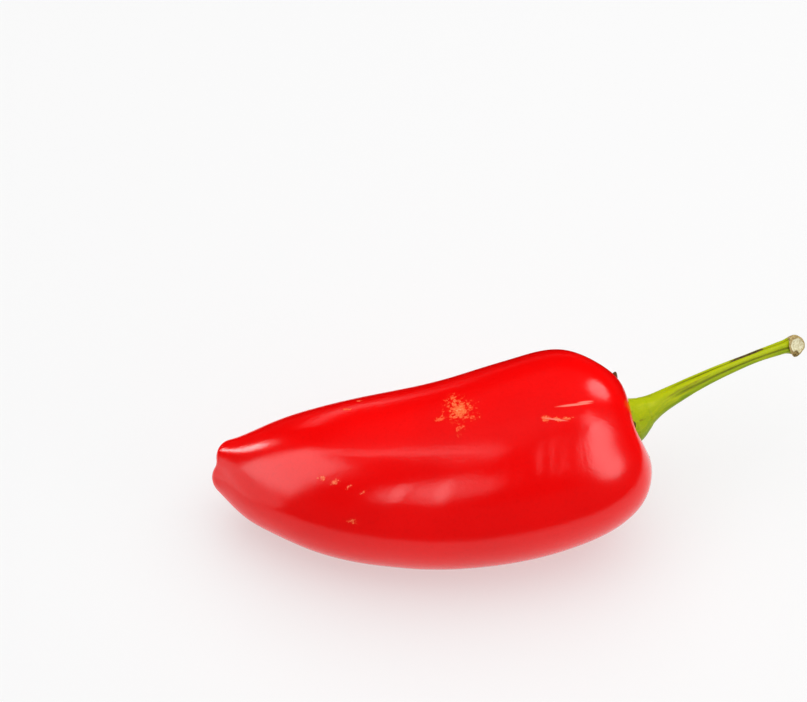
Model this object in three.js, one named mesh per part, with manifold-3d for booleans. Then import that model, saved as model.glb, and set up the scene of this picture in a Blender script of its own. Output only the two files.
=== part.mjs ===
// A red chilli pepper as picked, lying on its side: a broad three-lobed pod, the green calyx that
// caps its shoulders, and the ribbed green stalk it hung from.
// Millimetres. +X runs from the blossom tip towards the stalk, +Z is up, z = 0 is what it lies on.
import * as THREE from 'three';
import Module from 'manifold-3d';
import { mergeVertices } from 'three/addons/utils/BufferGeometryUtils.js';

// Driving dimensions, in millimetres and degrees.
const podLength = 94.8;       // blossom tip to the crown of the shoulders, along the bent axis
const podWidth = 44.8;        // across the broadest section
const podTurn = 57.6;         // how far the axis turns from the tip to the shoulders
const bellyAt = 72;           // distance of the broadest section from the tip
const tipWidth = 13;          // across the blunt blossom end
const tipDepth = 3;           // length of the rounding of the blossom end
const scarDepth = 0.8;        // how far the blossom scar is drawn in
const crownWidth = 24;        // ring of the shoulders' highest points, around the stalk
const wellDepth = 3.6;        // the sunken middle of the shoulders
const crownLift = 1.2;        // how far the lobes stand above the valleys at the crown
const lobeCount = 3;
const podTilt = 6.5;          // the shoulders lie higher than the tip
const restFlat = 0.4;         // what the weight of the pod flattens under it

const stalkOffsetSide = -1.4; // the stalk grows a little off the middle of the shoulders
const stalkOffsetUp = -1.3;
const calyxWidth = 24.5;       // across the tips of the calyx teeth
const calyxWaist = 17.5;      // across the calyx between its teeth
const calyxThickness = 1.1;
const toothCount = 6;
const toothSharpness = 4;     // the higher, the narrower the teeth
const collarHeight = 7;       // from the crown of the shoulders to the top of the calyx
const collarWidth = 6.4;      // the calyx where the stalk starts

const stalkLength = 45.5;
const stalkWidth = 2.75;      // at its narrowest
const stalkWaistAt = 31;      // distance of the narrowest place from the foot
const knobWidth = 4;          // the thickened end that broke off the plant
const knobLength = 3.4;
const stalkPitchFoot = 4;     // slope at the foot, against the pod's axis
const stalkPitchEnd = -16;
const stalkRibs = 5;
const stalkRibDepth = 0.06;   // as a share of the radius
const seatGap = 0.3;          // clearance between pieces that touch

const podSegments = 40;
const calyxSegments = 60;
const stalkSegments = 15;
const radians = THREE.MathUtils.degToRad;
const smooth = THREE.MathUtils.smoothstep;
const lerp = THREE.MathUtils.lerp;

const wasm = await Module();
wasm.setup();

// The pod's half outline as [radius, distance from the tip]: the blossom end, the long swelling side,
// and over the crown into the well. The side runs between the tip and the broadest section.
function podOutline() {
  const belly = podWidth / 2;
  const tip = tipWidth / 2;
  const crown = crownWidth / 2;
  const side = (share, swell) => [lerp(tip, belly, swell), lerp(tipDepth, bellyAt, share)];
  const shoulder = (share, out) => [lerp(belly, crown, out), lerp(bellyAt, podLength, share)];
  const points = [
    [0, scarDepth],
    [tip * 0.35, 0],
    [tip * 0.8, tipDepth * 0.2],
    side(0, 0),
    side(0.15, 0.33),
    side(0.33, 0.62),
    side(0.55, 0.82),
    side(0.77, 0.94),
    [belly, bellyAt],
    shoulder(0.56, 0.08),
    shoulder(0.83, 0.34),
    [crown, podLength],
    [crown * 0.62, podLength - wellDepth * 0.3],
    [crown * 0.28, podLength - wellDepth * 0.9],
    [0, podLength - wellDepth],
  ];
  return smoothCurve(points, 36);
}

function smoothCurve(points, steps) {
  const curve = new THREE.CatmullRomCurve3(
    points.map(([r, a]) => new THREE.Vector3(r, a, 0)), false, 'centripetal');
  return curve.getPoints(steps).map((p) => new THREE.Vector2(Math.max(p.x, 0), p.y));
}

// Moves an outline outwards by a distance, square to itself.
function grown(outline, distance) {
  return outline.map((point, i) => {
    const before = outline[Math.max(i - 1, 0)];
    const after = outline[Math.min(i + 1, outline.length - 1)];
    const along = after.clone().sub(before).normalize();
    const moved = new THREE.Vector2(point.x + along.y * distance, point.y - along.x * distance);
    const onAxis = i === 0 || i === outline.length - 1;
    return new THREE.Vector2(onAxis ? 0 : Math.max(moved.x, 0), moved.y);
  });
}

// The pod's axis is an arc that lies level; past the crown it runs on straight.
function axisFrame(along) {
  const turn = radians(podTurn);
  const radius = podLength / turn;
  const onArc = Math.min(along, podLength);
  const heading = (onArc / podLength - 0.5) * turn;
  const forward = new THREE.Vector3(Math.cos(heading), Math.sin(heading), 0);
  const side = new THREE.Vector3(-Math.sin(heading), Math.cos(heading), 0);
  const origin = new THREE.Vector3(
    radius * Math.sin(heading), radius * (Math.cos(turn / 2) - Math.cos(heading)), 0);
  return { origin: origin.addScaledVector(forward, along - onArc), forward, side };
}

// Lobes swell the section: one up, two down. They show most at the crown and at the blossom end.
function lobeShare(along) {
  const fromTip = THREE.MathUtils.clamp(along / podLength, 0, 1);
  return fromTip < 0.42 ? lerp(0.05, 0.02, fromTip / 0.42) : lerp(0.02, 0.05, (fromTip - 0.42) / 0.58);
}

function onPod(radius, along, angle) {
  const { origin, forward, side } = axisFrame(along);
  const lobe = Math.cos(lobeCount * (angle - Math.PI / 2));
  const swollen = radius * (1 + lobeShare(along) * lobe);
  const crown = crownWidth / 2;
  const nearCrown = smooth(along, podLength - crown, podLength);
  const onRim = Math.max(0, 1 - Math.abs(radius - crown) / (crown - collarWidth / 2));
  const inWell = nearCrown * (1 - smooth(radius, crown * 0.4, crown));
  return origin
    .addScaledVector(forward, crownLift * nearCrown * onRim * lobe)
    .addScaledVector(side, swollen * Math.cos(angle) + inWell * stalkOffsetSide)
    .addScaledVector(new THREE.Vector3(0, 0, 1), swollen * Math.sin(angle) + inWell * stalkOffsetUp);
}

// Turns an outline round its axis, then carries every vertex to its place with onPlace(r, a, angle).
function turned(outline, segments, onPlace) {
  const lathe = new THREE.LatheGeometry(outline, segments);
  const position = lathe.getAttribute('position');
  for (let i = 0; i < position.count; i++) {
    const [x, y, z] = [position.getX(i), position.getY(i), position.getZ(i)];
    const placed = onPlace(Math.hypot(x, z), y, Math.atan2(x, z));
    position.setXYZ(i, placed.x, placed.y, placed.z);
  }
  return toSolid(lathe);
}

function toSolid(geometry) {
  geometry.deleteAttribute('normal');
  geometry.deleteAttribute('uv');
  const merged = mergeVertices(geometry, 1e-4);
  const corners = [];
  const index = merged.getIndex().array;
  for (let i = 0; i < index.length; i += 3) {
    const [a, b, c] = [index[i], index[i + 1], index[i + 2]];
    if (a !== b && b !== c && c !== a) corners.push(a, b, c);
  }
  return new wasm.Manifold(new wasm.Mesh({
    numProp: 3,
    vertProperties: new Float32Array(merged.getAttribute('position').array),
    triVerts: new Uint32Array(corners),
  }));
}

function toGeometry(solid) {
  const mesh = solid.getMesh();
  const geometry = new THREE.BufferGeometry();
  geometry.setAttribute('position', new THREE.BufferAttribute(new Float32Array(mesh.vertProperties), 3));
  geometry.setIndex(new THREE.BufferAttribute(new Uint32Array(mesh.triVerts), 1));
  geometry.computeVertexNormals();
  return geometry;
}

// The pod lies tilted; a block takes off what its weight presses flat.
function makePod(tilt) {
  const solid = turned(podOutline(), podSegments, onPod);
  const lying = solid.transform(tilt.elements);
  const floor = lying.boundingBox().min[2] + restFlat;
  const block = new THREE.BoxGeometry(podLength * 2, podLength * 2, podWidth);
  block.translate(0, 0, floor - podWidth / 2);
  return { solid: lying.subtract(toSolid(block)), floor };
}

// Height of the pod's skin at a radius, from the crown outwards.
function skinHeight(outline, radius) {
  const crown = outline.findIndex((p) => p.y > bellyAt);
  for (let i = outline.length - 2; i >= crown; i--) {
    const [inner, outer] = [outline[i + 1], outline[i]];
    if (radius <= outer.x) {
      const share = THREE.MathUtils.clamp((radius - inner.x) / (outer.x - inner.x), 0, 1);
      return lerp(inner.y, outer.y, share);
    }
  }
  return bellyAt;
}

// The calyx starts as a star-shaped cap that sinks into the shoulders, and the pod's own shape, a
// seat gap larger, is cut out of it, so its underside lies on the skin and its teeth clasp the crown.
function makeCalyx(tilt) {
  const outline = podOutline();
  const collar = collarWidth / 2;
  const waist = calyxWaist / 2;
  const reach = calyxWidth / 2;
  const sunk = 3;
  const cap = [
    [0, -1], [0.5, -1], [1, -1], [1, 0], [0.93, 0.75], [0.8, 1], [0.62, 1], [0.45, 1], [0.3, 1], [0.15, 1],
    [0, 1],
  ].map(([share, level]) => new THREE.Vector2(share, level));
  const solid = turned(cap, calyxSegments, (share, level, angle) => {
    const tooth = Math.max(0, Math.cos(toothCount * (angle - Math.PI / 2))) ** toothSharpness;
    const edge = lerp(waist, reach, tooth);
    const radius = share * edge;
    const skin = skinHeight(outline, radius);
    const neck = podLength + collarHeight;
    if (level < 0) return onPod(radius, skin - sunk, angle);
    const flare = 1 - smooth(radius, collar * 0.9, waist * 0.9);
    const top = lerp(skin + calyxThickness * level, neck, flare ** 2);
    return onPod(radius, level === 0 ? skin - seatGap : top, angle);
  });
  const seat = turned(grown(outline, seatGap), podSegments, onPod);
  return solid.subtract(seat).transform(tilt.elements);
}

// The stalk's axis leaves the collar along the pod's axis and droops towards its end.
function stalkFrame(along) {
  const tippedFoot = collarWidth / 2 * Math.sin(radians(Math.abs(stalkPitchFoot)));
  const { origin, forward, side } = axisFrame(podLength + collarHeight + seatGap + tippedFoot);
  const start = origin.addScaledVector(side, stalkOffsetSide);
  start.z += stalkOffsetUp;
  const pitchAt = (d) => radians(lerp(stalkPitchFoot, stalkPitchEnd, d / stalkLength));
  const steps = 24;
  for (let i = 0; i < steps; i++) {
    const pitch = pitchAt((i + 0.5) * along / steps);
    start.addScaledVector(forward, Math.cos(pitch) * along / steps);
    start.z += Math.sin(pitch) * along / steps;
  }
  const pitch = pitchAt(along);
  const up = forward.clone().multiplyScalar(-Math.sin(pitch));
  up.z = Math.cos(pitch);
  return { origin: start, side, up };
}

function makeStalk(tilt) {
  const foot = collarWidth / 2;
  const waist = stalkWidth / 2;
  const knob = knobWidth / 2;
  const knobStart = stalkLength - knobLength;
  const outline = smoothCurve([
    [0, 0], [foot * 0.97, 0], [foot * 0.78, 3.5], [lerp(waist, foot, 0.28), stalkWaistAt * 0.4],
    [lerp(waist, foot, 0.1), stalkWaistAt * 0.66], [waist, stalkWaistAt],
    [lerp(waist, knob, 0.25), knobStart], [knob, stalkLength - knobLength * 0.4],
    [knob * 0.86, stalkLength], [0, stalkLength],
  ], 26);
  const flatFoot = outline.map((p) => new THREE.Vector2(p.x, THREE.MathUtils.clamp(p.y, 0, stalkLength)));
  return turned(flatFoot, stalkSegments, (radius, along, angle) => {
    const { origin, side, up } = stalkFrame(along);
    const ribbed = radius * (1 + stalkRibDepth * Math.cos(stalkRibs * angle));
    return origin
      .addScaledVector(side, ribbed * Math.cos(angle))
      .addScaledVector(up, ribbed * Math.sin(angle));
  }).transform(tilt.elements);
}

function named(name, solid, material) {
  const mesh = new THREE.Mesh(toGeometry(solid), material);
  mesh.name = name;
  return mesh;
}

const tilt = new THREE.Matrix4().makeRotationY(-radians(podTilt));
const skinRed = new THREE.MeshStandardMaterial({ color: 0xd30d0a, roughness: 0.22, metalness: 0 });
const leafGreen = new THREE.MeshStandardMaterial({ color: 0x8fae1e, roughness: 0.55, metalness: 0 });
const stalkGreen = new THREE.MeshStandardMaterial({ color: 0x9db820, roughness: 0.6, metalness: 0 });

const { solid: pod, floor } = makePod(tilt);
const pepper = new THREE.Group();
pepper.add(named('pod', pod, skinRed));
pepper.add(named('calyx', makeCalyx(tilt), leafGreen));
pepper.add(named('stem', makeStalk(tilt), stalkGreen));

// The origin is under the middle of the whole pepper, on what it lies on.
const box = new THREE.Box3().setFromObject(pepper);
const middle = box.getCenter(new THREE.Vector3());
pepper.position.set(-middle.x, -middle.y, -floor);

export default pepper;
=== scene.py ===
import math

import bpy
from mathutils import Matrix, Vector, noise


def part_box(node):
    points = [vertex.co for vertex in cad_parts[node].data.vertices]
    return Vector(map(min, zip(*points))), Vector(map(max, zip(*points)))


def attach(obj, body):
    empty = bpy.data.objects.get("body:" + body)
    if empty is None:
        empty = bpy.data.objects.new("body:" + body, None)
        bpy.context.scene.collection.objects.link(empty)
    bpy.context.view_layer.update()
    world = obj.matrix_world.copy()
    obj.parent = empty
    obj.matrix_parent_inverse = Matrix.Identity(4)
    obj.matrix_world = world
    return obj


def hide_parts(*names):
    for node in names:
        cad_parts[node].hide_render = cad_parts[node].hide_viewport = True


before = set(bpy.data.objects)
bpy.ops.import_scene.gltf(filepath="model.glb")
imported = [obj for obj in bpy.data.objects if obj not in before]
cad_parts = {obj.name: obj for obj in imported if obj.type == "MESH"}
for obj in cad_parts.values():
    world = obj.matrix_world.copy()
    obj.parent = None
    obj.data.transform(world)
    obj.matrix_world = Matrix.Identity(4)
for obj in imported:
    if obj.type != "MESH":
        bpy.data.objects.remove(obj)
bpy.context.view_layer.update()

bpy.context.scene.view_settings.view_transform = "Standard"


# ---------------------------------------------------------------------------
# Pod: the fruit. One hollow, thick-walled berry with three lobes, broad at the
# shoulders and blunt at the blossom end, grown in a slight bend. It is drawn as
# a chain of rings from the blossom scar to the well under the stalk.
# ---------------------------------------------------------------------------
MM = 0.001
POD_LENGTH = 94.8 * MM    # blossom end to the crown of the shoulders, along the bent axis
POD_BELLY = 22.4 * MM     # half width of the broadest section
BELLY_AT = 72 * MM
TIP_RADIUS = 6.5 * MM
TIP_DEPTH = 3 * MM
SCAR_DEPTH = 0.8 * MM
CROWN_RADIUS = 12 * MM    # ring of the shoulders' highest points
WELL_DEPTH = 3.6 * MM
CROWN_LIFT = 1.2 * MM     # lobes stand above the valleys at the crown
CROWN_NOTCH = 0.35 * MM   # one valley cuts a little deeper into the crown
NOTCH_AT = 146            # degrees round the axis
NOTCH_HALF_ANGLE = 13
TIP_REACH = 9 * MM        # the blossom end's own lobes reach this far
POD_TURN = math.radians(57.6)    # the bend, from end to end
POD_TILT = math.radians(6.5)     # how far the shoulders tilt up as it lies
REST_FLAT = 0.4 * MM      # flattened under the pod's weight
STALK_SIDE = -1.4 * MM    # the stalk grows a little off the middle
STALK_UP = -1.3 * MM
COLLAR_RADIUS = 3.5 * MM
COLLAR_HEIGHT = 7 * MM    # from the crown to where the calyx narrows into the stalk
RING_POINTS = 48
UP = Vector((0, 0, 1))


def smoothstep(value, low, high):
    share = min(max((value - low) / (high - low), 0), 1)
    return share * share * (3 - 2 * share)


def mix(a, b, share):
    return a + (b - a) * share


def bell(value, middle, width):
    return math.exp(-((value - middle) / width) ** 2)


def smooth_outline(points, fine, coarse):
    """A smooth curve through [radius, distance] points, in finer steps near the axis."""
    before_first = Vector(points[0]) * 2 - Vector(points[1])
    past_last = Vector(points[-1]) * 2 - Vector(points[-2])
    knots = [before_first, *map(Vector, points), past_last]
    substeps = 60
    dense = []
    for p0, p1, p2, p3 in zip(knots, knots[1:], knots[2:], knots[3:]):
        t1 = (p1 - p0).length ** 0.5
        t2 = t1 + (p2 - p1).length ** 0.5
        t3 = t2 + (p3 - p2).length ** 0.5
        for step in range(substeps):
            t = mix(t1, t2, step / substeps)
            a1 = p0 * ((t1 - t) / t1) + p1 * (t / t1)
            a2 = p1 * ((t2 - t) / (t2 - t1)) + p2 * ((t - t1) / (t2 - t1))
            a3 = p2 * ((t3 - t) / (t3 - t2)) + p3 * ((t - t2) / (t3 - t2))
            b1 = a1 * ((t2 - t) / t2) + a2 * (t / t2)
            b2 = a2 * ((t3 - t) / (t3 - t1)) + a3 * ((t - t1) / (t3 - t1))
            dense.append(b1 * ((t2 - t) / (t2 - t1)) + b2 * ((t - t1) / (t2 - t1)))
    dense.append(Vector(points[-1]))
    walked = [dense[0]]
    for point in dense[1:-1]:
        step = mix(fine, coarse, smoothstep(point.x, 2 * MM, 11 * MM))
        if (point - walked[-1]).length >= step and (point - dense[-1]).length >= fine / 2:
            walked.append(point)
    return [*walked, dense[-1]]


def pod_outline():
    """[radius, distance from the tip]: blossom end, swelling side, over the crown and into the well."""
    def side(share, swell):
        return mix(TIP_RADIUS, POD_BELLY, swell), mix(TIP_DEPTH, BELLY_AT, share)

    def shoulder(share, inward):
        return mix(POD_BELLY, CROWN_RADIUS, inward), mix(BELLY_AT, POD_LENGTH, share)

    return [
        (0, SCAR_DEPTH), (TIP_RADIUS * 0.35, 0), (TIP_RADIUS * 0.8, TIP_DEPTH * 0.2),
        side(0, 0), side(0.15, 0.33), side(0.33, 0.62), side(0.55, 0.82), side(0.77, 0.94),
        (POD_BELLY, BELLY_AT), shoulder(0.56, 0.08), shoulder(0.83, 0.34), (CROWN_RADIUS, POD_LENGTH),
        (CROWN_RADIUS * 0.62, POD_LENGTH - WELL_DEPTH * 0.3),
        (CROWN_RADIUS * 0.28, POD_LENGTH - WELL_DEPTH * 0.9), (0, POD_LENGTH - WELL_DEPTH),
    ]


def pod_axis(along):
    """Centre, forward and side of the bent axis; past the crown it runs on straight."""
    bend_radius = POD_LENGTH / POD_TURN
    on_arc = min(along, POD_LENGTH)
    heading = (on_arc / POD_LENGTH - 0.5) * POD_TURN
    forward = Vector((math.cos(heading), math.sin(heading), 0))
    side = Vector((-math.sin(heading), math.cos(heading), 0))
    across = math.cos(POD_TURN / 2) - math.cos(heading)
    centre = Vector((bend_radius * math.sin(heading), bend_radius * across, 0))
    return centre + forward * (along - on_arc), forward, side


LOBE_AT_ENDS = 0.05       # how far the lobes swell the section, as a share of its radius
LOBE_AT_WAIST = 0.02
WAIST_SHARE = 0.42        # where the lobes are weakest, as a share of the pod's length
LOBE_AT_SCAR = 0.03       # more of the same, close to the blossom scar


def lobe_share(along):
    """How strong the three lobes are at this distance from the tip."""
    from_tip = min(max(along / POD_LENGTH, 0), 1)
    if from_tip < WAIST_SHARE:
        return mix(LOBE_AT_ENDS, LOBE_AT_WAIST, from_tip / WAIST_SHARE)
    return mix(LOBE_AT_WAIST, LOBE_AT_ENDS, (from_tip - WAIST_SHARE) / (1 - WAIST_SHARE))


# Swellings and hollows of this pod, in millimetres and degrees: [along, angle, length, half angle, height].
POD_DENTS = [
    (14, 52, 10, 40, 1.0), (29, 48, 13, 34, 0.85), (42, 48, 12, 30, 0.3), (8, 225, 7, 45, 1.1),
    (13, 170, 8, 20, 0.35),
    (88, 143, 9, 15, -0.55), (80, 138, 10, 12, -0.25), (86, 186, 11, 22, 0.35), (84, 96, 9, 18, 0.25),
    (94.5, 56, 4.5, 30, -1.7), (44, 126, 26, 9, -0.14), (52, 106, 20, 10, 0.1), (60, 152, 14, 14, 0.1),
]
# Fine wrinkles across the valley: [along, angle, length, half angle, height, wavelength].
POD_RIPPLES = [
    (50, 146, 13, 14, 0.035, 8.5),
    (72, 139, 6, 11, 0.036, 4.3),
    (69, 141, 5, 8, 0.02, 2.7),
]
# Small lobes round the blossom end: [angle, half angle, how far past the end].
TIP_LOBES = [(190, 36, 0.6), (138, 19, -0.4), (90, 30, 0.3)]
RIPPLE_SLANT = 0.12       # millimetres along the pod for each degree round it
GRAIN_LENGTH = 19 * MM    # of the gentle unevenness all over
GRAIN_HEIGHT = 0.12 * MM
FINE_GRAIN_HEIGHT = 0.014 * MM


def uneven(along, angle):
    """How far the skin stands out from the plain lobed shape."""
    turned = math.degrees(angle) % 360
    height = 0
    for middle, turn, length, half_turn, rise in POD_DENTS:
        height += rise * MM * bell(along, middle * MM, length * MM) * bell(turned, turn, half_turn)
    for middle, turn, length, half_turn, rise, wave in POD_RIPPLES:
        near = bell(along, middle * MM, length * MM) * bell(turned, turn, half_turn)
        crests = (along / MM - middle + RIPPLE_SLANT * (turned - turn)) / wave
        height += rise * MM * near * math.sin(2 * math.pi * crests)
    grain = Vector((along / GRAIN_LENGTH, math.cos(angle) * 1.5, math.sin(angle) * 1.5))
    return height + GRAIN_HEIGHT * noise.noise(grain) + FINE_GRAIN_HEIGHT * noise.noise(grain * 3.1)


def on_pod(radius, along, angle, skin=True):
    """The pod's skin, with its lobes (one up, two down), crown and well."""
    centre, forward, side = pod_axis(along)
    lobe = math.cos(3 * (angle - math.pi / 2))
    near_tip = 1 - smoothstep(along, 0, TIP_REACH)
    swollen = radius * (1 + (lobe_share(along) + LOBE_AT_SCAR * near_tip) * lobe)
    if skin:
        swollen += uneven(along, angle) * smoothstep(radius, 0, 6 * MM)
    near_crown = smoothstep(along, POD_LENGTH - CROWN_RADIUS, POD_LENGTH)
    on_rim = max(0, 1 - abs(radius - CROWN_RADIUS) / (CROWN_RADIUS - COLLAR_RADIUS))
    in_well = near_crown * (1 - smoothstep(radius, CROWN_RADIUS * 0.4, CROWN_RADIUS))
    turned = math.degrees(angle) % 360
    on_tip = near_tip * bell(radius, 4.6 * MM, 2.6 * MM)
    tip_lobes = sum(rise * bell(turned, turn, half_turn) for turn, half_turn, rise in TIP_LOBES)
    notch = CROWN_NOTCH * bell(turned, NOTCH_AT, NOTCH_HALF_ANGLE) * on_rim if skin else 0
    lift = CROWN_LIFT * near_crown * on_rim * lobe - notch * near_crown - tip_lobes * MM * on_tip
    return (centre + forward * lift
            + side * (swollen * math.cos(angle) + in_well * STALK_SIDE)
            + UP * (swollen * math.sin(angle) + in_well * STALK_UP))


def ring_chain(name, outline, points, place):
    """A closed skin of rings: a circle is extruded ring by ring along the outline, its ends are closed, it
    is made finer, and every point is carried to its place. The straight shape stays in an attribute."""
    bpy.ops.object.select_all(action="DESELECT")
    first = outline[1]
    bpy.ops.mesh.primitive_circle_add(vertices=points, radius=first[0], location=(0, 0, first[1]))
    piece = bpy.context.object
    piece.name = name
    bpy.ops.object.transform_apply(location=True, rotation=True, scale=True)
    bpy.ops.object.mode_set(mode="EDIT")
    bpy.ops.mesh.select_all(action="SELECT")
    for before, ring in zip(outline[1:-2], outline[2:-1]):
        bpy.ops.mesh.extrude_region_move(TRANSFORM_OT_translate={"value": (0, 0, ring[1] - before[1])})
        share = ring[0] / before[0]
        bpy.ops.transform.resize(value=(share, share, 1), center_override=(0, 0, ring[1]))
    for end, near in ((outline[0], outline[1]), (outline[-1], outline[-2])):
        bpy.ops.mesh.select_all(action="DESELECT")
        bpy.ops.object.mode_set(mode="OBJECT")
        for vertex in piece.data.vertices:
            radius = math.hypot(vertex.co.x, vertex.co.y)
            vertex.select = abs(vertex.co.z - near[1]) < 1e-7 and abs(radius - near[0]) < 1e-7
        bpy.ops.object.mode_set(mode="EDIT")
        bpy.ops.mesh.extrude_region_move(TRANSFORM_OT_translate={"value": (0, 0, end[1] - near[1])})
        bpy.ops.mesh.merge(type="CENTER")
    bpy.ops.object.mode_set(mode="OBJECT")
    finer = piece.modifiers.new("finer", "SUBSURF")
    finer.levels = finer.render_levels = 2
    bpy.ops.object.modifier_apply(modifier=finer.name)
    straight = piece.data.attributes.new("straight", "FLOAT_VECTOR", "POINT")
    for vertex, kept in zip(piece.data.vertices, straight.data):
        kept.vector = vertex.co.copy()
        x, y, along = vertex.co
        vertex.co = place(math.hypot(x, y), along, math.atan2(y, x))
    bpy.ops.object.mode_set(mode="EDIT")
    bpy.ops.mesh.select_all(action="SELECT")
    bpy.ops.mesh.normals_make_consistent(inside=False)
    bpy.ops.object.mode_set(mode="OBJECT")
    bpy.ops.object.shade_smooth()
    return piece


def paint(piece, name, value):
    """Keeps a number from 0 to 1 at each point, worked out from the point's place on the straight shape."""
    layer = piece.data.attributes.new(name, "FLOAT", "POINT")
    for point, kept in zip(piece.data.attributes["straight"].data, layer.data):
        x, y, z = point.vector
        share = value(math.hypot(x, y), z, math.atan2(y, x))
        kept.value = min(max(share, 0), 1)


POD_RINGS = smooth_outline(pod_outline(), 0.7 * MM, 2.2 * MM)
pod = ring_chain("red_pod", POD_RINGS, RING_POINTS, on_pod)
paint(pod, "scar", lambda r, z, a: bell(r, 0, 1 * MM) * (1 - smoothstep(z, 4 * MM, 8 * MM)))

# The lying pose: the shoulders tilt up, and the pod's box meets the frame's.
tilted = Matrix.Rotation(-POD_TILT, 4, "Y")
pod_low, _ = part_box("pod")
lying = [tilted @ vertex.co for vertex in pod.data.vertices]
low = Vector([min(p[axis] for p in lying) for axis in range(3)])
TO_PLACE = Matrix.Translation((pod_low[0] - low.x, pod_low[1] - low.y, -low.z - REST_FLAT)) @ tilted
pod.data.transform(TO_PLACE)
for vertex in pod.data.vertices:
    vertex.co.z = max(vertex.co.z, 0)


def shader_of(material):
    return material.node_tree.nodes["Principled BSDF"]


def feed(material, socket, value):
    """Gives an input a number, a colour or another node's output."""
    if hasattr(value, "links"):
        material.node_tree.links.new(value, socket)
    else:
        socket.default_value = value


def add_node(material, kind, inputs=None, **settings):
    node = material.node_tree.nodes.new(kind)
    for key, value in settings.items():
        setattr(node, key, value)
    for key, value in (inputs or {}).items():
        feed(material, node.inputs[key], value)
    return node


def ramp(material, factor, stops):
    """A colour looked up between [place, colour] stops."""
    node = add_node(material, "ShaderNodeValToRGB", {"Fac": factor})
    while len(node.color_ramp.elements) < len(stops):
        node.color_ramp.elements.new(0.5)
    for element, (place, colour) in zip(node.color_ramp.elements, stops):
        element.position = place
        element.color = (*colour, 1)
    return node.outputs["Color"]


def blend_colour(material, share, first, second):
    node = add_node(material, "ShaderNodeMix", data_type="RGBA")
    for socket, value in ((node.inputs[0], share), (node.inputs[6], first), (node.inputs[7], second)):
        feed(material, socket, value)
    return node.outputs[2]


def maths(material, operation, *values):
    node = add_node(material, "ShaderNodeMath", operation=operation)
    for socket, value in zip(node.inputs, values):
        feed(material, socket, value)
    return node.outputs[0]


def mask(material, value, low, high, top=1.0):
    """0 below low, rising to top at high."""
    return ramp(material, value, [(low, (0, 0, 0)), (high, (top, top, top))])


def attribute(material, name, kind="Fac"):
    node = add_node(material, "ShaderNodeAttribute", attribute_name=name, attribute_type="GEOMETRY")
    return node.outputs[kind]


def object_place(material):
    return add_node(material, "ShaderNodeTexCoord").outputs["Object"]


def cloud(material, where, scale, detail, roughness):
    return add_node(material, "ShaderNodeTexNoise", {
        "Vector": where, "Scale": scale, "Detail": detail, "Roughness": roughness,
    }).outputs["Fac"]


def new_material(name):
    material = bpy.data.materials.new(name)
    material.use_nodes = True
    return material


# Corky scars in the skin, in millimetres and degrees: [along, angle, length, breadth, turn, how solid].
SKIN_MARKS = [
    (58.0, 97, 5.6, 5.2, 10, 0.47),
    (56.8, 91, 4.4, 3.8, 30, 0.34),
    (53.6, 99.5, 2.4, 1.8, 30, 0.36),
    (57.4, 86, 3.6, 2.4, -30, 0.34),
    (60.2, 103, 3.0, 3.4, 0, 0.3),
    (57.0, 109, 3.6, 2.4, 70, 0.3),
    (28.8, 131, 1.7, 1.3, 20, 0.5),
    (31.2, 134, 2.2, 1.0, 35, 0.45),
    (34.2, 137, 1.6, 0.8, 30, 0.4),
    (37.0, 141, 1.8, 0.7, 30, 0.36),
    (34.5, 162, 1.8, 1.3, 0, 0.45),
    (32.4, 75, 2.6, 1.0, -20, 0.45),
    (34.8, 64, 1.4, 1.1, 0, 0.45),
    (21.0, 58, 1.6, 1.0, 0, 0.4),
    (74.2, 116.4, 1.8, 1.2, -26, 0.52),
    (76.4, 118.6, 1.8, 1.0, -30, 0.47),
    (78.6, 120.4, 2.0, 0.9, -20, 0.44),
    (64.0, 250, 4.0, 2.6, 15, 0.36),
    (40.0, 330, 2.4, 2.0, 0, 0.4),
    (70.0, 20, 3.4, 1.6, 40, 0.38),
    (22.0, 0, 1.8, 1.2, 10, 0.42),
]
# Scratches: [along, angle, length, breadth, turn].
SKIN_SCRATCHES = [
    (80.6, 114.2, 4.8, 0.32, -14),
    (83.0, 114.8, 2.2, 0.26, -14),
    (75.8, 118.2, 3.4, 0.22, -28),
    (46.0, 352, 5.0, 0.3, 22),
    (68.0, 285, 4.2, 0.26, -12),
]
MARK_REACH = 10 * MM      # a mark's spot reaches this far in and out of the skin
WAX_ROUGHNESS = 0.165
MARK_ROUGHNESS = 0.3      # added where the skin is corky or scratched
WAX_IOR = 1.36
PEEL_DEPTH = 0.08 * MM


def mark_spot(material, straight, along, angle, length, breadth, turn):
    """1 in the middle of a stretched spot on the skin, falling to 0 at its edge."""
    radius = next(p.x for p in POD_RINGS[2:] if p.y >= along * MM)
    a = math.radians(angle)
    middle = Vector((radius * math.cos(a), radius * math.sin(a), along * MM))
    frame_axes = Matrix.Rotation(a, 3, "Z") @ Matrix.Rotation(math.radians(turn), 3, "X")
    mapped = add_node(material, "ShaderNodeMapping", {
        "Vector": straight, "Location": middle, "Rotation": frame_axes.to_euler(),
        "Scale": (MARK_REACH, breadth * MM, length * MM),
    }, vector_type="TEXTURE")
    return add_node(material, "ShaderNodeTexGradient", {"Vector": mapped.outputs[0]},
                    gradient_type="SPHERICAL").outputs["Fac"]


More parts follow.
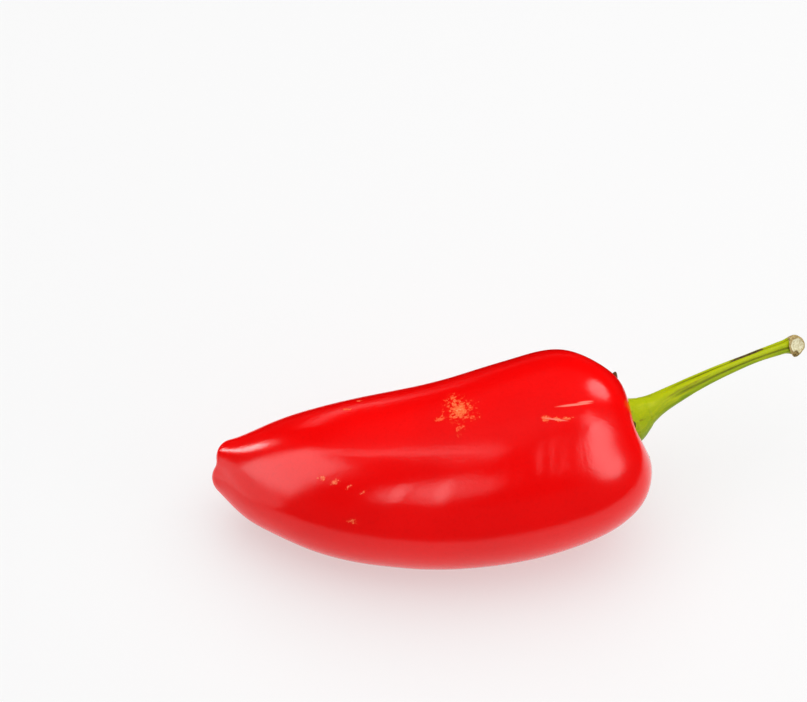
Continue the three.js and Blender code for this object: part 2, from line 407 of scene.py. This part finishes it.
def pod_skin():
    """Ripe red under a thin wax, with corky crumbs, scratches and the dried scar of the flower."""
    material = new_material("waxy_red_skin")
    shader = shader_of(material)
    links = material.node_tree.links
    where = object_place(material)
    straight = attribute(material, "straight", "Vector")

    # Ripe red, a little deeper in soft patches, with fine darker freckles under the wax.
    patches = cloud(material, where, 28, 4, 0.6)
    red = ramp(material, patches, [(0.3, (0.85, 0.0, 0.0)), (0.7, (0.96, 0.0, 0.0))])
    freckles = cloud(material, where, 1400, 2, 0.6)
    freckled = ramp(material, freckles, [(0.3, (0.12, 0.12, 0.12)), (0.5, (0, 0, 0))])
    red = blend_colour(material, freckled, red, (0.6, 0.0, 0.0, 1))

    # Corky marks break up into crumbs, paler in their middles.
    crumbs = cloud(material, where, 1150, 4, 0.72)
    flecks = cloud(material, where, 2600, 2, 0.6)
    corky = None
    for along, angle, length, breadth, turn, solid in SKIN_MARKS:
        spot = mark_spot(material, straight, along, angle, length, breadth, turn)
        edge = maths(material, "MULTIPLY_ADD", spot, solid, crumbs)
        one = maths(material, "MULTIPLY", mask(material, edge, 0.74, 0.88), mask(material, spot, 0, 0.12))
        corky = one if corky is None else maths(material, "MAXIMUM", corky, one)
    orange = [(0.3, (0.95, 0.06, 0.006)), (0.55, (1.0, 0.2, 0.045)), (0.75, (1.0, 0.36, 0.16))]
    crusted = maths(material, "MULTIPLY", corky, 0.92)
    red = blend_colour(material, crusted, red, ramp(material, flecks, orange))

    # The dried scar of the flower, in the dimple at the blossom end.
    scar = maths(material, "MULTIPLY_ADD", crumbs, 0.7, attribute(material, "scar"))
    scar = mask(material, scar, 0.75, 0.95)
    dried = ramp(material, flecks, [(0.35, (0.1, 0.035, 0.012)), (0.65, (0.36, 0.17, 0.07))])
    red = blend_colour(material, scar, red, dried)

    # Scratches are thin, pale and broken.
    scratch = None
    for along, angle, length, breadth, turn in SKIN_SCRATCHES:
        spot = mark_spot(material, straight, along, angle, length, breadth, turn)
        broken = maths(material, "MULTIPLY", spot, maths(material, "ADD", crumbs, 0.7))
        one = mask(material, broken, 0.12, 0.6)
        scratch = one if scratch is None else maths(material, "MAXIMUM", scratch, one)
    red = blend_colour(material, maths(material, "MULTIPLY", scratch, 0.85), red, (1.0, 0.24, 0.17, 1))
    links.new(red, shader.inputs["Base Color"])

    marks = maths(material, "MAXIMUM", maths(material, "MAXIMUM", corky, scratch), scar)
    roughness = maths(material, "MULTIPLY_ADD", marks, MARK_ROUGHNESS, WAX_ROUGHNESS)
    links.new(roughness, shader.inputs["Roughness"])
    shader.inputs["IOR"].default_value = WAX_IOR

    # Fine orange peel in the wax, and the marks stand a touch above the skin.
    peel = cloud(material, where, 1500, 2, 0.6)
    height = maths(material, "MULTIPLY_ADD", marks, 0.6, peel)
    bump = add_node(material, "ShaderNodeBump", {
        "Strength": 0.4, "Distance": PEEL_DEPTH, "Height": height,
    })
    links.new(bump.outputs["Normal"], shader.inputs["Normal"])
    return material


pod.data.materials.append(pod_skin())
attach(pod, "root")
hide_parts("pod")


# ---------------------------------------------------------------------------
# Calyx: the green cap that held the flower. A thin plate in the well between the
# shoulders, with a rib to each short hooked tooth, rising in a flare to the stalk.
# ---------------------------------------------------------------------------
CALYX_WAIST = 8.9 * MM    # between the teeth
CALYX_REACH = 12.3 * MM   # to the tips of the longest teeth
FLARE_FOOT = 6 * MM
UNDERSIDE_SLIM = 2.2 * MM  # the flare is narrower on its underside
TEETH = [(80, 11.7), (147, 9.9), (212, 11.2), (268, 12.0), (327, 11.4), (31, 11.9)]    # [angle, reach]
TOOTH_HALF_WIDTH = 0.13   # radians
TOOTH_HOOK = 0.4 * MM     # the tips stand off the shoulders
UNDERSIDE = 230           # degrees round the axis
# Painted light: round this phase the green is painted lighter and yellower, on the upper side.
LIT_SIDE_PHASE = 0.35          # radians; the green is yellower on this side
RIB_HEIGHT = 0.5 * MM
RIB_SINK = 0.15 * MM      # the plate dips between the ribs
STALK_ROUGHNESS = 0.42
FIBRE_DEPTH = 0.15 * MM


def crown_height(radius):
    """Height of the shoulders' skin at a radius, on the way down into the well."""
    outline = [p for p in POD_RINGS if p.y > BELLY_AT]
    for outer, inner in zip(outline, outline[1:]):
        if inner.x <= radius <= outer.x:
            return mix(inner.y, outer.y, (radius - inner.x) / (outer.x - inner.x))
    return POD_LENGTH - WELL_DEPTH


def toothed(angle, half_width):
    """How far out the plate goes at this angle, and how near the middle of a tooth this is."""
    near, reach = 0, CALYX_WAIST
    for turn, tip in TEETH:
        away = (angle - math.radians(turn) + math.pi) % (2 * math.pi) - math.pi
        share = 0.8 * bell(away, 0, half_width) + 0.2 * bell(away, 0, 2.6 * half_width)
        if share > near:
            near, reach = share, mix(CALYX_WAIST, tip * MM, share)
    return near, reach


def on_calyx(radius, along, angle):
    """The plate follows the well and the shoulders, with a rib to each tooth; the flare rises from it."""
    near, edge = toothed(angle, TOOTH_HALF_WIDTH)
    share = max(0, radius - FLARE_FOOT) / (CALYX_REACH - FLARE_FOOT)
    drawn_in = mix(FLARE_FOOT, edge, share) if share > 0 else radius
    height = along - POD_LENGTH
    slim = smoothstep(radius, 4.5 * MM, 8.5 * MM) * (1 - smoothstep(radius, 8.8 * MM, 12 * MM))
    drawn_in -= UNDERSIDE_SLIM * slim * bell(math.degrees(angle) % 360, UNDERSIDE, 55)
    if share > 0:
        height += crown_height(drawn_in) - crown_height(radius)
    on_top = smoothstep(height, -0.6 * MM, 0.4 * MM)
    ribs, _ = toothed(angle, mix(0.34, 0.12, smoothstep(radius, 4 * MM, 9 * MM)))
    height += (RIB_HEIGHT * ribs - RIB_SINK) * on_top * smoothstep(radius, 4.2 * MM, 7 * MM)
    height += TOOTH_HOOK * near * smoothstep(share, 0.55, 1)
    return on_pod(drawn_in, POD_LENGTH + height, angle, skin=False)


calyx_outline = [(r * MM, POD_LENGTH + h * MM) for r, h in (
    (0, 8.6), (2.3, 8.6), (2.9, 8.45), (3.2, 8.0), (3.5, 7.5), (3.82, 6.9), (4.08, 6.3), (4.35, 5.65),
    (4.65, 4.95), (5.0, 4.2), (5.4, 3.45), (5.85, 2.7), (6.4, 1.95), (7.0, 1.25), (7.7, 0.7), (8.5, 0.4),
    (9.4, 0.3), (10.3, 0.35), (11.2, 0.55), (11.9, 0.7), (12.3, 0.6), (12.25, 0.35), (11.7, 0.15),
    (10.7, 0.0), (9.5, -0.25), (8.2, -0.6), (6.5, -1.3), (4.5, -2.4), (2.5, -3.2), (0, -3.4),
)]
calyx = ring_chain("green_calyx", calyx_outline, RING_POINTS, on_calyx)
calyx.data.transform(TO_PLACE)


def calyx_groove_shade(radius, along, angle):
    """1 between the ribs, where the flare meets the plate; there the green is painted darker as painted
    shade.
    """
    between_ribs = 1 - toothed(angle, 0.2)[0]
    on_foot = smoothstep(radius, 5 * MM, 7 * MM) * (1 - smoothstep(radius, 8 * MM, 9 * MM))
    return 0.5 * between_ribs * on_foot


def tooth_tip(radius, along, angle):
    return toothed(angle, TOOTH_HALF_WIDTH)[0] * smoothstep(radius, 11 * MM, 12 * MM)


def lit_side_share(radius, along, angle):
    """1 on the upper side, where the green is painted lighter and yellower as painted light."""
    return 0.5 + 0.5 * math.sin(angle + LIT_SIDE_PHASE)


paint(calyx, "dry", tooth_tip)
paint(calyx, "groove", calyx_groove_shade)
paint(calyx, "painted_lit_side", lit_side_share)


def green_of_stalk(name):
    """Fibrous green with yellower ribs, painted lighter and yellower on the upper side as painted light, a
    dark olive painted into the grooves as painted shade, and corky brown where it dried.
    """
    material = new_material(name)
    shader = shader_of(material)
    links = material.node_tree.links
    where = object_place(material)
    straight = attribute(material, "straight", "Vector")
    groove, dry, painted_lit_side = (attribute(material, layer) for layer in ("groove", "dry", "painted_lit_side"))
    drawn_out = add_node(material, "ShaderNodeMapping", {"Vector": straight, "Scale": (1, 1, 0.07)})
    along_fibre = drawn_out.outputs[0]
    fibres = cloud(material, along_fibre, 1500, 3, 0.65)
    lines = cloud(material, along_fibre, 520, 4, 0.65)
    patches = cloud(material, where, 140, 3, 0.6)
    crumbs = cloud(material, where, 1300, 4, 0.7)

    # Painted light: the upper side is painted lighter and yellower, mixed with random patches of tone.
    tone_and_painted_light = maths(material, "MULTIPLY_ADD", patches, 0.5, maths(material, "MULTIPLY", painted_lit_side, 0.6))
    green = ramp(material, tone_and_painted_light, [(0.3, (0.17, 0.3, 0.0)), (0.75, (0.4, 0.475, 0.0))])
    light_fibre = mask(material, fibres, 0.45, 0.7, 0.5)
    green = blend_colour(material, light_fibre, green, (0.53, 0.55, 0.0, 1))
    # Painted shade: the grooves are painted a dark olive, unevenly along the fibres.
    groove_shade = maths(material, "MULTIPLY", groove, maths(material, "MULTIPLY_ADD", lines, 1.6, -0.1))
    olive = mask(material, groove_shade, 0.25, 0.75, 0.85)
    green = blend_colour(material, olive, green, (0.12, 0.13, 0.0, 1))
    dry_streak = mask(material, lines, 0.6, 0.7, 0.7)
    green = blend_colour(material, dry_streak, green, (0.2, 0.15, 0.004, 1))
    corked = maths(material, "ADD", dry, maths(material, "MULTIPLY_ADD", crumbs, 0.9, -0.45))
    brown = ramp(material, crumbs, [(0.3, (0.02, 0.012, 0.004)), (0.6, (0.13, 0.08, 0.03))])
    colour = blend_colour(material, mask(material, corked, 0.4, 0.55), green, brown)
    links.new(colour, shader.inputs["Base Color"])
    links.new(maths(material, "MULTIPLY_ADD", dry, 0.3, STALK_ROUGHNESS), shader.inputs["Roughness"])
    shader.inputs["IOR"].default_value = 1.45
    shader.inputs["Specular IOR Level"].default_value = 0.12
    height = maths(material, "ADD", fibres, maths(material, "MULTIPLY", crumbs, dry))
    bump = add_node(material, "ShaderNodeBump", {
        "Strength": 0.6, "Distance": FIBRE_DEPTH, "Height": height,
    })
    links.new(bump.outputs["Normal"], shader.inputs["Normal"])
    return material


calyx.data.materials.append(green_of_stalk("calyx_green"))
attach(calyx, "root")
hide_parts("calyx")


# ---------------------------------------------------------------------------
# Stem: the fibrous stalk the pod hung from. It droops a little over its length,
# has five soft ribs, and ends in the corky button where it broke from the plant.
# ---------------------------------------------------------------------------
STALK_LENGTH = 42.2 * MM
PITCH_FOOT = math.radians(4)
PITCH_END = math.radians(-14)
RIB_COUNT = 5
RIB_PHASE = math.radians(104)
RIB_WIND = 0.25                           # radians over the stalk's length
BUTTON_LENGTH = 3.6 * MM
BUTTON_TURN = math.radians(112)           # it hooks round, so its face looks aside and up
BUTTON_FACE = 45.6 * MM - STALK_LENGTH    # from where the button starts to its face
STALK_FROM = POD_LENGTH + COLLAR_HEIGHT
BUTTON_FROM = STALK_FROM + STALK_LENGTH
NUB = (-1.5 * MM, -1.15 * MM)             # the torn strand on the button's face
NUB_HEIGHT = 0.6 * MM
RIM_BULGE = 0.5 * MM
RIM_BULGE_AT = 218                        # degrees round the axis
SCAB_AT = 30.5 * MM                       # a dry scrape along the stalk
SCAB_LENGTH = 5.5 * MM
SCAB_ANGLE = 66
SCAB_DEPTH = 0.16 * MM
STALK_RING_POINTS = 24


def stalk_axis(along):
    """Centre, forward, side and up of the drooping stalk, hooked round at the button."""
    centre, forward, side = pod_axis(POD_LENGTH + COLLAR_HEIGHT)
    centre = centre + side * STALK_SIDE + UP * STALK_UP
    risen = along - STALK_FROM
    if risen <= 0:
        return centre + forward * risen, forward, side, UP
    straight_part = min(risen, STALK_LENGTH)
    steps = 24
    for step in range(steps):
        pitch = mix(PITCH_FOOT, PITCH_END, (step + 0.5) / steps * straight_part / STALK_LENGTH)
        centre = centre + (forward * math.cos(pitch) + UP * math.sin(pitch)) * (straight_part / steps)
    pitch = mix(PITCH_FOOT, PITCH_END, straight_part / STALK_LENGTH) * smoothstep(risen, 0, 3 * MM)
    ahead = forward * math.cos(pitch) + UP * math.sin(pitch)
    up = UP * math.cos(pitch) - forward * math.sin(pitch)
    if risen > STALK_LENGTH:
        # The button hooks towards the front and a little upwards.
        turned = (risen - STALK_LENGTH) / BUTTON_LENGTH * BUTTON_TURN
        bend = BUTTON_LENGTH / BUTTON_TURN
        inner = -side * 0.86 + up * 0.51
        centre = centre + ahead * (bend * math.sin(turned)) + inner * (bend * (1 - math.cos(turned)))
        turn = Matrix.Rotation(turned, 3, ahead.cross(inner))
        return centre, turn @ ahead, turn @ side, turn @ up
    return centre, ahead, side, up


def stalk_rib(angle, along):
    """1 on the crest of a rib, 0 in a groove; the ribs wind a little."""
    wound = angle - RIB_PHASE - RIB_WIND * (along - STALK_FROM) / STALK_LENGTH
    return 0.5 + 0.5 * math.cos(RIB_COUNT * wound)


def stalk_scab(along, angle):
    """1 on the dry scrape along the stalk's upper side."""
    turned = math.degrees(angle) % 360
    return bell(along, STALK_FROM + SCAB_AT, SCAB_LENGTH) * bell(turned, SCAB_ANGLE, 22)


def from_nub(radius, angle):
    """How far a place on the button's face is from the torn strand."""
    return math.hypot(radius * math.cos(angle) - NUB[0], radius * math.sin(angle) - NUB[1])


def on_stalk(radius, along, angle):
    """The ribbed stalk, with its scrape, and the crumpled button with a bulge past its rim."""
    centre, ahead, side, up = stalk_axis(along)
    ribbed = smoothstep(along, STALK_FROM + 1 * MM, STALK_FROM + 11 * MM)
    ribbed *= 1 - smoothstep(along, BUTTON_FROM - 1.5 * MM, BUTTON_FROM + 0.8 * MM)
    groove = (1 - stalk_rib(angle, along)) ** 2.2
    crumple = noise.noise(Vector((math.cos(angle) * 1.4, math.sin(angle) * 1.4, along / (6 * MM))))
    knobbly = noise.noise(Vector((math.cos(angle) * 1.9, math.sin(angle) * 1.9, along / (1.6 * MM))))
    button = smoothstep(along, BUTTON_FROM, BUTTON_FROM + 1.2 * MM)
    swollen = radius * (1 + ribbed * (0.07 - 0.2 * groove + 0.07 * crumple) + 0.09 * button * knobbly)
    swollen -= SCAB_DEPTH * stalk_scab(along, angle)
    past_rim = smoothstep(along, BUTTON_FROM + 1.4 * MM, BUTTON_FROM + 2.4 * MM)
    past_rim *= smoothstep(radius, 1 * MM, 1.8 * MM)
    swollen += RIM_BULGE * past_rim * bell(math.degrees(angle) % 360, RIM_BULGE_AT, 24)
    nub = bell(from_nub(radius, angle), 0, 0.8 * MM)
    nub *= smoothstep(along, BUTTON_FROM + BUTTON_FACE - 1.2 * MM, BUTTON_FROM + BUTTON_FACE)
    return (centre + ahead * (NUB_HEIGHT * nub) + side * (swollen * math.cos(angle))
            + up * (swollen * math.sin(angle)))


stalk_outline = smooth_outline([(r * MM, STALK_FROM + a * MM) for r, a in (
    (0, -1.4), (2.9, -1.4), (3.3, -1.2), (3.62, -0.6), (3.79, 0.0), (3.4, 1.2), (2.95, 3), (2.7, 4.6),
    (2.42, 7), (2.2, 9.5), (1.98, 13), (1.66, 20), (1.46, 27), (1.38, 32), (1.45, 37), (1.55, 40),
    (1.64, 42.0), (1.95, 43.0), (2.34, 43.9), (2.46, 44.8), (2.24, 45.55), (1.85, 45.65), (1.4, 45.35),
    (0.8, 45.25), (0.35, 45.3), (0, 45.3),
)], 0.8 * MM, 0.8 * MM)
stem = ring_chain("green_stem", stalk_outline, STALK_RING_POINTS, on_stalk)
stem.data.transform(TO_PLACE)


# Painted shade: 1 deep in the grooves between the ribs, where the green is painted darker.
def stalk_groove_shade(radius, along, angle):
    ribbed = smoothstep(along, STALK_FROM + 3 * MM, STALK_FROM + 12 * MM)
    return ribbed * (1 - stalk_rib(angle, along)) ** 3


def button_share(radius, along, angle):
    return smoothstep(along, BUTTON_FROM + 0.3 * MM, BUTTON_FROM + 1.6 * MM)


def pale_share(radius, along, angle):
    """1 in the middle of the button's face."""
    return button_share(radius, along - 1.5 * MM, angle) * (1 - smoothstep(radius, 1.4 * MM, 1.9 * MM))


def pit_share(radius, along, angle):
    """1 on the torn strand."""
    return button_share(radius, along - 1.5 * MM, angle) * bell(from_nub(radius, angle), 0, 0.85 * MM)


paint(stem, "groove", stalk_groove_shade)
paint(stem, "dry", lambda r, z, a: stalk_scab(z, a))
paint(stem, "painted_lit_side", lit_side_share)
paint(stem, "button", button_share)
paint(stem, "pale", pale_share)
paint(stem, "pit", pit_share)


def stem_green():
    """The calyx's green, ending in a pale button with a tan rim and a brown torn strand."""
    material = green_of_stalk("stem_green")
    shader = shader_of(material)
    green = shader.inputs["Base Color"].links[0].from_socket
    crumbs = cloud(material, object_place(material), 1900, 3, 0.7)
    rim = [(0.3, (0.2, 0.13, 0.04)), (0.5, (0.46, 0.34, 0.14)), (0.7, (0.62, 0.5, 0.24))]
    cream = [(0.3, (0.5, 0.42, 0.2)), (0.6, (0.84, 0.8, 0.55))]
    torn = [(0.35, (0.09, 0.055, 0.015)), (0.65, (0.34, 0.24, 0.08))]
    button, pale, pit = (attribute(material, layer) for layer in ("button", "pale", "pit"))

    in_middle = mask(material, maths(material, "MULTIPLY_ADD", crumbs, 0.5, pale), 0.55, 0.85)
    cork = blend_colour(material, in_middle, ramp(material, crumbs, rim), ramp(material, crumbs, cream))
    in_pit = mask(material, maths(material, "MULTIPLY_ADD", crumbs, 0.5, pit), 0.6, 0.8)
    cork = blend_colour(material, in_pit, cork, ramp(material, crumbs, torn))
    past_edge = mask(material, maths(material, "MULTIPLY_ADD", crumbs, 0.4, button), 0.45, 0.7)
    colour = blend_colour(material, past_edge, green, cork)
    material.node_tree.links.new(colour, shader.inputs["Base Color"])
    return material


stem.data.materials.append(stem_green())
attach(stem, "root")
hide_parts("stem")


# ---------------------------------------------------------------------------
# Table: a broad, matt white surface under the pepper. It glows a little, as if
# lit from below, and that keeps the shadow on it soft and pale.
# ---------------------------------------------------------------------------
TABLE_SIZE = 6
TABLE_GREY = 0.4
TABLE_GLOW = 0.5
bpy.ops.object.select_all(action="DESELECT")
bpy.ops.mesh.primitive_plane_add(size=TABLE_SIZE, location=(0, 0, 0))
table = bpy.context.object
table.name = "white_table"
white = new_material("matt_white")
shader_of(white).inputs["Base Color"].default_value = (TABLE_GREY, TABLE_GREY, TABLE_GREY, 1)
shader_of(white).inputs["Emission Color"].default_value = (1, 1, 1, 1)
shader_of(white).inputs["Emission Strength"].default_value = TABLE_GLOW
shader_of(white).inputs["Roughness"].default_value = 0.9
shader_of(white).inputs["Specular IOR Level"].default_value = 0.1
table.data.materials.append(white)


# ---------------------------------------------------------------------------
# Light: a bright room. A broad overhead panel and two fills light the scene, and
# the windows, lamps and strips round it show as mirror images in the wax.
# ---------------------------------------------------------------------------
ROOM_GLOW = 0.38
LIGHT_AIM = Vector((0, 0, 0.03))    # the panels face this point
LIT_CENTRE = (-0.012, 0, 0.0004)    # of the oval of lit table that the skin mirrors
LIT_HALF_WIDTH = 0.057
LIT_STRETCH = 2.05
DARK_REACH = 30                     # the dark round it goes out this many times as far

world = bpy.data.worlds.new("room")
bpy.context.scene.world = world
world.use_nodes = True
room = world.node_tree.nodes["Background"]
room.inputs["Color"].default_value = (1, 1, 1, 1)
# The walls are bright as light, and dark where the skin mirrors them.
ray = world.node_tree.nodes.new("ShaderNodeLightPath")
walls = world.node_tree.nodes.new("ShaderNodeMapRange")
walls.inputs["To Min"].default_value = ROOM_GLOW
walls.inputs["To Max"].default_value = 0.0
world.node_tree.links.new(ray.outputs["Is Glossy Ray"], walls.inputs["Value"])
world.node_tree.links.new(walls.outputs["Result"], room.inputs["Strength"])


def direction(azimuth, elevation):
    """Azimuth 0 is beyond the pepper, and 90 at the stalk's side."""
    a, e = math.radians(azimuth), math.radians(elevation)
    return Vector((math.sin(a) * math.cos(e), math.cos(a) * math.cos(e), math.sin(e)))


def softbox(name, azimuth, elevation, distance, width, height, radiance, mirrored=True, lit=True):
    """A panel that faces the pepper; radiance is how bright it looks, whatever its size."""
    towards = direction(azimuth, elevation)
    data = bpy.data.lights.new(name, "AREA")
    data.shape = "RECTANGLE"
    data.size, data.size_y = width, height
    data.energy = radiance * math.pi * width * height
    lamp = bpy.data.objects.new(name, data)
    bpy.context.collection.objects.link(lamp)
    lamp.location = LIGHT_AIM + towards * distance
    lamp.rotation_mode = "QUATERNION"
    lamp.rotation_quaternion = towards.to_track_quat("Z", "Y")
    lamp.visible_glossy = mirrored
    lamp.visible_diffuse = lit
    lamp.visible_camera = False
    return lamp


def strip(name, start, end, distance, width, radiance):
    """A thin panel stretched between two directions, seen only as a mirror image."""
    first, last = direction(*start), direction(*end)
    middle = (first + last).normalized()
    azimuth, elevation = math.degrees(math.atan2(middle.x, middle.y)), math.degrees(math.asin(middle.z))
    length = 2 * distance * math.tan(first.angle(last) / 2)
    lamp = softbox(name, azimuth, elevation, distance, length, width, radiance, lit=False)
    x_axis = (last - first).normalized()
    axes = Matrix((x_axis, middle.cross(x_axis), middle)).transposed()
    lamp.rotation_quaternion = axes.to_quaternion()
    return lamp


# Azimuth, elevation, distance, width, height and radiance.
softbox("overhead", 30, 80, 1.4, 2.4, 2.4, 1.5, mirrored=False)
softbox("window_left", -100, 20, 0.7, 0.45, 0.55, 4.2, lit=False)
for name, *numbers in (
    ("window_right", 124, 15, 0.7, 0.28, 0.38, 4.3),
    ("window_right_top", 123, 36, 0.7, 0.12, 0.30, 3.0),
    ("window_far_right", 151, 32, 0.7, 0.06, 0.30, 1.3),
    ("window_front_a", -153, 21, 0.8, 0.12, 0.32, 4.8),
    ("window_front_b", -169, 22, 0.8, 0.16, 0.37, 4.2),
    ("window_front_c", 177, 23, 0.8, 0.05, 0.22, 2.8),
    ("lamp_right", 70, 41, 0.8, 0.36, 0.34, 5),
    ("lamp_left", -60, 13, 0.8, 0.12, 0.22, 11),
):
    softbox(name, *numbers, lit=False).data.shape = "ELLIPSE"
softbox("card_left", -98, -9.8, 0.118, 0.06, 0.018, 1.3, lit=False)
softbox("fill_left", -100, 20, 0.7, 0.45, 0.55, 1.8, mirrored=False)
softbox("fill_right", 115, 20, 0.7, 0.45, 0.55, 1.1, mirrored=False)
strip("strip_above", (-85, 40), (176, 48), 0.9, 0.075, 3.4)
strip("strip_behind", (-36, 27), (-12, 6), 0.9, 0.07, 1.2)

# Past a lit oval of table the room is dark; only the mirror images in the skin show it.
bpy.ops.object.select_all(action="DESELECT")
bpy.ops.mesh.primitive_circle_add(vertices=64, radius=LIT_HALF_WIDTH, location=LIT_CENTRE)
dark = bpy.context.object
dark.name = "dark_surround"
dark.scale = (LIT_STRETCH, 1, 1)
bpy.ops.object.transform_apply(location=True, rotation=True, scale=True)
bpy.ops.object.mode_set(mode="EDIT")
bpy.ops.mesh.select_all(action="SELECT")
bpy.ops.mesh.extrude_region_move()
bpy.ops.transform.resize(value=(DARK_REACH, DARK_REACH, 1), center_override=LIT_CENTRE)
bpy.ops.object.mode_set(mode="OBJECT")
dull_black = new_material("dull_black")
shader_of(dull_black).inputs["Base Color"].default_value = (0.0, 0.0, 0.0, 1)
shader_of(dull_black).inputs["Roughness"].default_value = 1
shader_of(dull_black).inputs["Specular IOR Level"].default_value = 0
dark.data.materials.append(dull_black)
dark.visible_camera = dark.visible_diffuse = dark.visible_shadow = dark.visible_transmission = False


# ---------------------------------------------------------------------------
# Camera: a portrait lens that looks down on the table from the front. Its aim
# is past the pepper, which so lies below the middle of the view.
# ---------------------------------------------------------------------------
LENS = 85                # millimetres
SENSOR_WIDTH = 36
CAMERA_AZIMUTH = math.radians(-2.5)
CAMERA_ELEVATION = math.radians(43)
CAMERA_DISTANCE = 0.4897
AIM = Vector((-0.02356, 0.0546, 0))
back = Vector((math.sin(CAMERA_AZIMUTH) * math.cos(CAMERA_ELEVATION),
               -math.cos(CAMERA_AZIMUTH) * math.cos(CAMERA_ELEVATION), math.sin(CAMERA_ELEVATION)))
camera_data = bpy.data.cameras.new("camera")
camera_data.lens = LENS
camera_data.sensor_width = SENSOR_WIDTH
camera = bpy.data.objects.new("camera", camera_data)
bpy.context.collection.objects.link(camera)
camera.location = AIM + back * CAMERA_DISTANCE
camera.rotation_mode = "QUATERNION"
camera.rotation_quaternion = back.to_track_quat("Z", "Y")
bpy.context.scene.camera = camera
